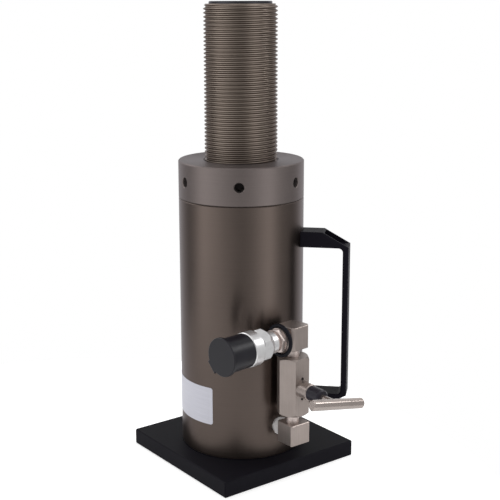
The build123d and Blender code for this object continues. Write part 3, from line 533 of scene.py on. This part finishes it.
def ram_radius(height, cut):
    """The rod's radius under the thread, its run-out at the foot and its chamfer at the top."""
    fade = min(1.0, (height - thread_low) / (RUN_OUT_TURNS * THREAD_PITCH))
    chamfered = THREAD_RADIUS - max(0.0, height - (ram_top - THREAD_DEPTH))
    return min(THREAD_RADIUS - cut * fade * THREAD_DEPTH, chamfered)


def groove(low, high, depth):
    """The outline of a square groove in the piston."""
    bottom = bore_radius - depth
    return [(piston_radius, low), (bottom, low), (bottom, high), (piston_radius, high)]


wear_low, wear_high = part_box("wear_rings")
seal_low, seal_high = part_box("piston_seal")[0].z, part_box("backup_ring")[1].z
piston_outline = [
    (0.0, piston_bottom),
    (piston_radius - PISTON_OIL_CHAMFER, piston_bottom),
    (piston_radius, piston_bottom + PISTON_OIL_CHAMFER),
    *groove(wear_low.z, wear_low.z + WEAR_RING_WIDTH, WEAR_RING_DEPTH),
    *groove(seal_low, seal_high, SEAL_DEPTH),
    *groove(wear_high.z - WEAR_RING_WIDTH, wear_high.z, WEAR_RING_DEPTH),
    (piston_radius, piston_top),
    (THREAD_RADIUS, piston_top),
    (THREAD_RADIUS, thread_low),
]
clip_groove = spigot_bore + CLIP_GROOVE_DEPTH
pocket_outline = [
    (THREAD_RADIUS - THREAD_DEPTH, ram_top),
    (pocket_radius, ram_top),
    (pocket_radius, saddle_seat),
    (spigot_bore, saddle_seat),
    (spigot_bore, clip_high.z + CLIP_SIDE_GAP),
    (clip_groove, clip_high.z + CLIP_SIDE_GAP),
    (clip_groove, clip_low.z - CLIP_SIDE_GAP),
    (spigot_bore, clip_low.z - CLIP_SIDE_GAP),
    (spigot_bore, saddle_low.z - SPIGOT_EXTRA_DEPTH),
    (0.0, saddle_low.z - SPIGOT_EXTRA_DEPTH),
]
ram_mesh = skin(
    "ram_rod",
    [ring_row(radius, height) for radius, height in piston_outline],
    helix_rows(thread_low, ram_top, ram_radius),
    [ring_row(radius, height) for radius, height in pocket_outline],
)
add_piece("ram_rod", ram_mesh, "ram", "ram_steel", "ram")

# Helical pieces: a section swept along a right-hand helix about the z axis
HELIX_INPUTS = {
    "Turns": "NodeSocketFloat",
    "Pitch": "NodeSocketFloat",
    "Radius": "NodeSocketFloat",
    "Columns": "NodeSocketInt",
    "Fade Turns": "NodeSocketFloat",
    "Place": "NodeSocketVector",
    "Finish": "NodeSocketMaterial",
}


def ridge_section(nodes, size):
    """A thread ridge from its foot to its crest. A negative rise points inwards."""
    corners = {}
    for number, (reach, width, side) in enumerate(
        (
            (0.0, "Foot Width", -0.5),
            (0.0, "Foot Width", 0.5),
            (size["Rise"], "Crest Width", 0.5),
            (size["Rise"], "Crest Width", -0.5),
        ),
        1,
    ):
        corner = {"X": reach, "Y": size[width] * side}
        corners[f"Point {number}"] = nodes.add("ShaderNodeCombineXYZ", inputs=corner)
    return nodes.add("GeometryNodeCurvePrimitiveQuadrilateral", {"mode": "POINTS"}, corners)


def wire_section(nodes, size):
    """A round wire."""
    return nodes.add(
        "GeometryNodeCurvePrimitiveCircle",
        inputs={"Resolution": WIRE_CORNERS, "Radius": size["Wire Radius"]},
    )


def helix_tree(name, section, section_sizes):
    """Nodes that sweep a section along a helix and let it grow and fade at the two ends."""
    tree = bpy.data.node_groups.new(name, "GeometryNodeTree")
    kinds = HELIX_INPUTS | {size: "NodeSocketFloat" for size in section_sizes}
    keys = {}
    for label, kind in kinds.items():
        socket = tree.interface.new_socket(label, in_out="INPUT", socket_type=kind)
        keys[label] = socket.identifier
    tree.interface.new_socket("Piece", in_out="OUTPUT", socket_type="NodeSocketGeometry")
    nodes = Nodes(tree)
    group = tree.nodes.new("NodeGroupInput")
    size = {label: Signal(tree, group.outputs[label]) for label in kinds}
    helix = nodes.add(
        "GeometryNodeCurveSpiral",
        inputs={
            "Resolution": size["Columns"],
            "Rotations": size["Turns"],
            "Start Radius": size["Radius"],
            "End Radius": size["Radius"],
            "Height": size["Turns"] * size["Pitch"],
            "Reverse": True,
        },
    )
    placed = nodes.add(
        "GeometryNodeTransform", inputs={"Geometry": helix, "Translation": size["Place"]}
    )
    upright = nodes.add("GeometryNodeSetCurveNormal", {"mode": "Z_UP"}, {"Curve": placed})
    along = nodes.add("GeometryNodeSplineParameter", output="Factor")
    nearer_end = along.combined("MINIMUM", along, 1 - along)
    growth = nearer_end * (size["Turns"] / size["Fade Turns"])
    swept = nodes.add(
        "GeometryNodeCurveToMesh",
        inputs={
            "Curve": upright,
            "Profile Curve": section(nodes, size),
            "Scale": growth.combined("MINIMUM", growth, 1.0),
            "Fill Caps": True,
        },
    )
    real = nodes.add("GeometryNodeRealizeInstances", inputs={"Geometry": swept})
    dressed = nodes.add(
        "GeometryNodeSetMaterial", inputs={"Geometry": real, "Material": size["Finish"]}
    )
    output = tree.nodes.new("NodeGroupOutput")
    tree.links.new(dressed.socket, output.inputs["Piece"])
    return tree, keys


def helix_mesh(name, section, sizes):
    """A plain mesh of a section swept along a helix of these sizes."""
    section_sizes = [size for size in sizes if size not in HELIX_INPUTS]
    tree, keys = helix_tree(name, section, section_sizes)
    blank = bpy.data.objects.new(f"{name}_blank", bpy.data.meshes.new(f"{name}_blank"))
    bpy.context.scene.collection.objects.link(blank)
    modifier = blank.modifiers.new("helix", "NODES")
    modifier.node_group = tree
    for size, value in sizes.items():
        modifier[keys[size]] = value
    shapes = bpy.context.evaluated_depsgraph_get()
    mesh = bpy.data.meshes.new_from_object(blank.evaluated_get(shapes), depsgraph=shapes)
    blank.modifiers.remove(modifier)
    bpy.data.objects.remove(blank)
    smooth_but_sharp(mesh)
    return mesh


# Lock collar's thread: a ridge in the ram's groove
COLLAR_BORE_OVERLAP = 0.12 * MM
RIDGE_CLEARANCE = 0.07 * MM
RIDGE_CREST_GAP = 0.12 * MM
RIDGE_FADE_TURNS = 0.75
collar_low, collar_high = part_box("lock_collar")
bore_wall = THREAD_RADIUS + RUNNING_CLEARANCE + COLLAR_BORE_OVERLAP
ridge_crest = THREAD_RADIUS - THREAD_DEPTH + RIDGE_CREST_GAP
flank = (0.5 - ROOT_HALF - CREST_HALF) * THREAD_PITCH / THREAD_DEPTH
first_groove = ceil(collar_low.z / THREAD_PITCH) + 0.5
groove_turns = floor((collar_high.z - first_groove * THREAD_PITCH) / THREAD_PITCH - 0.5)


def groove_width(radius):
    """The width of the ram's thread groove at a radius, less the running clearance."""
    root_width = 2 * ROOT_HALF * THREAD_PITCH
    opening = 2 * flank * (radius - THREAD_RADIUS + THREAD_DEPTH)
    return root_width + opening - 2 * RIDGE_CLEARANCE


collar_thread = helix_mesh(
    "collar_thread",
    ridge_section,
    {
        "Turns": float(groove_turns),
        "Pitch": THREAD_PITCH,
        "Radius": bore_wall,
        "Rise": ridge_crest - bore_wall,
        "Foot Width": groove_width(THREAD_RADIUS),
        "Crest Width": groove_width(ridge_crest),
        "Fade Turns": RIDGE_FADE_TURNS,
        "Columns": COLUMNS,
        "Place": (0.0, 0.0, first_groove * THREAD_PITCH),
        "Finish": finishes["collar_steel"],
    },
)
add_piece("collar_thread", collar_thread, "lock_collar", "collar_steel")

# Check spring: a coil behind the coupler's poppet, carried by the cylinder
joints = {joint["name"]: joint for joint in frame["joints"]}
coupler_root = Vector(joints["sleeve_turn"]["pos_m"])
coupler_axis = Vector(joints["sleeve_turn"]["axis"])
spring_turn = coupler_axis.to_track_quat("Z", "Y").to_matrix().to_4x4()
spring_foot = coupler_root + coupler_axis * SPRING_START
coil = helix_mesh(
    "check_coil",
    wire_section,
    {
        "Turns": float(SPRING_TURNS),
        "Pitch": (SPRING_LENGTH - SPRING_WIRE) / SPRING_TURNS,
        "Radius": (SPRING_DIAMETER - SPRING_WIRE) / 2,
        "Columns": SPRING_COLUMNS,
        "Fade Turns": SPRING_END_TURNS,
        "Place": (0.0, 0.0, SPRING_WIRE / 2),
        "Finish": finishes["spring_steel"],
        "Wire Radius": SPRING_WIRE / 2,
    },
)
coil.transform(Matrix.Translation(spring_foot) @ spring_turn)
check_coil = add_piece("check_coil", coil, "cylinder", "spring_steel", "check_spring")
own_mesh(check_coil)

# Camera
bearing = Vector((-CAMERA_PLACE.x, -CAMERA_PLACE.y, 0)).normalized()
forward = bearing * cos(CAMERA_PITCH) - Vector((0, 0, 1)) * sin(CAMERA_PITCH)
level_right = forward.cross(Vector((0, 0, 1))).normalized()
level_up = level_right.cross(forward)
right = level_right * cos(CAMERA_ROLL) + level_up * sin(CAMERA_ROLL)
upward = level_up * cos(CAMERA_ROLL) - level_right * sin(CAMERA_ROLL)
lens = bpy.data.cameras.new("camera")
lens.sensor_width = SENSOR_WIDTH
lens.lens = FOCAL_PIXELS / FRAME_PIXELS * SENSOR_WIDTH
lens.shift_x = 0.5 - AXIS_PIXEL[0] / FRAME_PIXELS
lens.shift_y = AXIS_PIXEL[1] / FRAME_PIXELS - 0.5
camera = bpy.data.objects.new("camera", lens)
turn = Matrix((right, upward, -forward)).transposed().to_4x4()
camera.matrix_world = Matrix.Translation(CAMERA_PLACE) @ turn
bpy.context.scene.collection.objects.link(camera)
bpy.context.scene.camera = camera

# Studio: a white room, dim behind the camera, with a soft box on each side of the jack. Each
# stop is an angle from the camera, in degrees to the right, and the room's brightness there. The
# upper stops take over where the sine of the climb goes from UPPER_START to UPPER_FULL.
ROOM_STOPS = [
    (-180, 1.00), (-140, 1.00), (-126, 0.75), (-112, 0.36), (-98, 0.60), (-74, 1.80),
    (-50, 1.35), (-25, 0.82), (0, 0.50), (20, 0.70), (36, 1.20), (54, 1.75),
    (66, 1.00), (76, 0.58), (90, 0.50), (106, 0.36), (122, 0.60), (136, 1.10),
    (160, 1.00), (180, 1.00),
]
UPPER_STOPS = [
    (-180, 0.12), (-162, 0.15), (-150, 1.70), (-134, 1.90), (-116, 0.50), (-98, 0.60),
    (-74, 1.40), (-50, 1.20), (0, 0.58), (54, 1.40), (76, 0.80), (100, 0.36),
    (122, 0.50), (134, 0.90), (148, 1.00), (160, 0.12), (180, 0.12),
]
UPPER_START = 0.36
UPPER_FULL = 0.60
PLAIN_LEVEL = (0.85, 0.85, 0.85, 1)
WHITE = (1, 1, 1, 1)
room = bpy.data.worlds.new("studio")
bpy.context.scene.world = room
room.use_nodes = True


def build_room(tree):
    """The room's light by direction, and plain white where the camera sees it."""
    tree.nodes.clear()
    nodes = Nodes(tree)
    add = nodes.add
    direction = add("ShaderNodeTexCoord", output="Generated")
    dot = {"operation": "DOT_PRODUCT"}
    ahead = add("ShaderNodeVectorMath", dot, {0: direction, 1: tuple(-bearing)}, "Value")
    aside = add("ShaderNodeVectorMath", dot, {0: direction, 1: tuple(level_right)}, "Value")
    angle = aside.combined("ARCTAN2", aside, ahead)
    around = angle * (0.5 / pi) + 0.5

    def band_ramp(all_stops):
        ramp = tree.nodes.new("ShaderNodeValToRGB")
        ramp.color_ramp.interpolation = "EASE"
        stops = ramp.color_ramp.elements
        while len(stops) < len(all_stops):
            stops.new(0.5)
        for stop, (degrees, brightness) in zip(stops, all_stops):
            stop.position = degrees / 360 + 0.5
            stop.color = (brightness, brightness, brightness, 1)
        connect(tree, ramp.inputs[0], around)
        return Signal(tree, ramp.outputs[0])

    height = add("ShaderNodeSeparateXYZ", inputs={0: direction}, output="Z")
    overhead = add(
        "ShaderNodeMapRange",
        {"interpolation_type": "SMOOTHSTEP"},
        {"Value": height, "From Min": UPPER_START, "From Max": UPPER_FULL},
    )
    bands = nodes.between(overhead, band_ramp(ROOM_STOPS), band_ramp(UPPER_STOPS))
    path = tree.nodes.new("ShaderNodeLightPath")
    mirrored = Signal(tree, path.outputs["Is Glossy Ray"])
    through = Signal(tree, path.outputs["Is Transmission Ray"])
    seen = Signal(tree, path.outputs["Is Camera Ray"])
    studio = nodes.between(mirrored.combined("MAXIMUM", mirrored, through), PLAIN_LEVEL, bands)
    shade = nodes.between(seen, studio, WHITE)
    background = add("ShaderNodeBackground", inputs={"Color": shade, "Strength": 1.0})
    output = tree.nodes.new("ShaderNodeOutputWorld")
    tree.links.new(background.socket, output.inputs["Surface"])


build_room(room.node_tree)

JACK_MIDDLE = Vector((0, 0, 0.2))
SOFT_BOX_CLIMB = radians(40)
SOFT_BOX_DISTANCE = 1.6


def add_soft_box(name, degrees, width, height, power):
    """A soft box at an angle right of the camera, above level, facing the jack."""
    level = -bearing * cos(radians(degrees)) + level_right * sin(radians(degrees))
    climb = level * cos(SOFT_BOX_CLIMB) + Vector((0, 0, 1)) * sin(SOFT_BOX_CLIMB)
    place = climb * SOFT_BOX_DISTANCE
    light = bpy.data.lights.new(name, "AREA")
    light.shape = "RECTANGLE"
    light.size = width
    light.size_y = height
    light.energy = power
    lamp = bpy.data.objects.new(name, light)
    aim = (JACK_MIDDLE - place).to_track_quat("-Z", "Y")
    lamp.matrix_world = Matrix.Translation(place) @ aim.to_matrix().to_4x4()
    bpy.context.scene.collection.objects.link(lamp)


add_soft_box("right_box", degrees=92, width=0.45, height=0.50, power=4.2)
add_soft_box("left_box", degrees=-105, width=0.9, height=0.6, power=3.0)

# Floor: a white sheet that keeps the object's shadow
FLOOR_RADIUS = 0.45
FLOOR_SIDES = 96
FLOOR_SHIFT = 0.15
FLOOR_SIDE_SHIFT = 0.18
FLOOR_DROP = 0.05 * MM
FLOOR_MIRRORED = 0.4
FLOOR_GRAIN = 300
FLOOR_ROUGHNESS = 0.9
FLOOR_GLOW = 0.5
FLOOR_DARK = (0.86, 0.86, 0.86, 1)
FLOOR_PALE = (0.90, 0.90, 0.90, 1)
BLACK = (0, 0, 0, 1)


def build_floor():
    """A round white floor with a soft white finish."""
    mesh = bpy.data.meshes.new("floor")
    shape = bmesh.new()
    bmesh.ops.create_circle(shape, cap_ends=True, segments=FLOOR_SIDES, radius=FLOOR_RADIUS)
    middle = -bearing * FLOOR_SHIFT - level_right * FLOOR_SIDE_SHIFT
    bmesh.ops.translate(shape, verts=shape.verts, vec=(middle.x, middle.y, -FLOOR_DROP))
    shape.to_mesh(mesh)
    shape.free()
    finish = Finish("floor_white")
    seen = finish.add("ShaderNodeLightPath", output="Is Camera Ray")
    mirrored = finish.add("ShaderNodeLightPath", output="Is Glossy Ray")
    through = finish.add("ShaderNodeLightPath", output="Is Transmission Ray")
    lit = seen + FLOOR_MIRRORED * mirrored + through
    grain = finish.clouds(finish.place, scale=FLOOR_GRAIN, detail=2)
    finish.shade(
        Base_Color=finish.between(grain, FLOOR_DARK, FLOOR_PALE),
        Roughness=FLOOR_ROUGHNESS,
        Emission_Color=finish.between(lit, BLACK, WHITE),
        Emission_Strength=FLOOR_GLOW,
    )
    mesh.materials.append(finish.material)
    floor = bpy.data.objects.new("floor", mesh)
    bpy.context.scene.collection.objects.link(floor)


build_floor()

bpy.context.scene.view_settings.view_transform = "Standard"
